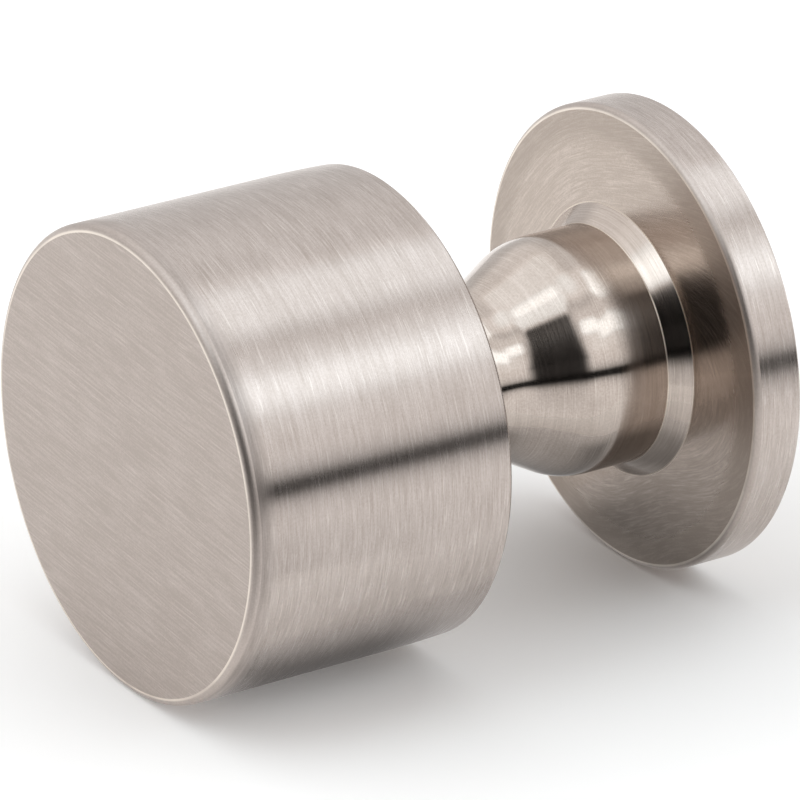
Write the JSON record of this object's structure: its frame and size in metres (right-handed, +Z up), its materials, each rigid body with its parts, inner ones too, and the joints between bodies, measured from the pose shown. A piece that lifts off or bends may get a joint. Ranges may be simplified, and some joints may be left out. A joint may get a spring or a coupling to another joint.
{
  "type": "cabinet knob",
  "caption": "Round drum-head knob for a cabinet door or drawer, on a bulbed stem with a round base plate and a tapped hole for a machine screw from behind.",
  "frame": {"origin": "centre of the base plate's flat back, where the knob's axis meets the door's surface", "axes": "as fixed to an upright door: +Z up, +Y into the door along the knob's axis, so the head points along -Y"},
  "size_m": [0.0286, 0.0378, 0.0286],
  "materials": {
    "brushed_nickel": "satin nickel plating: straight brushing across the head's face, round brushing on the sides and stem, hand brushing on the plate's face"
  },
  "bodies": {
    "root": {"knob": "brushed_nickel"}
  },
  "joints": []
}
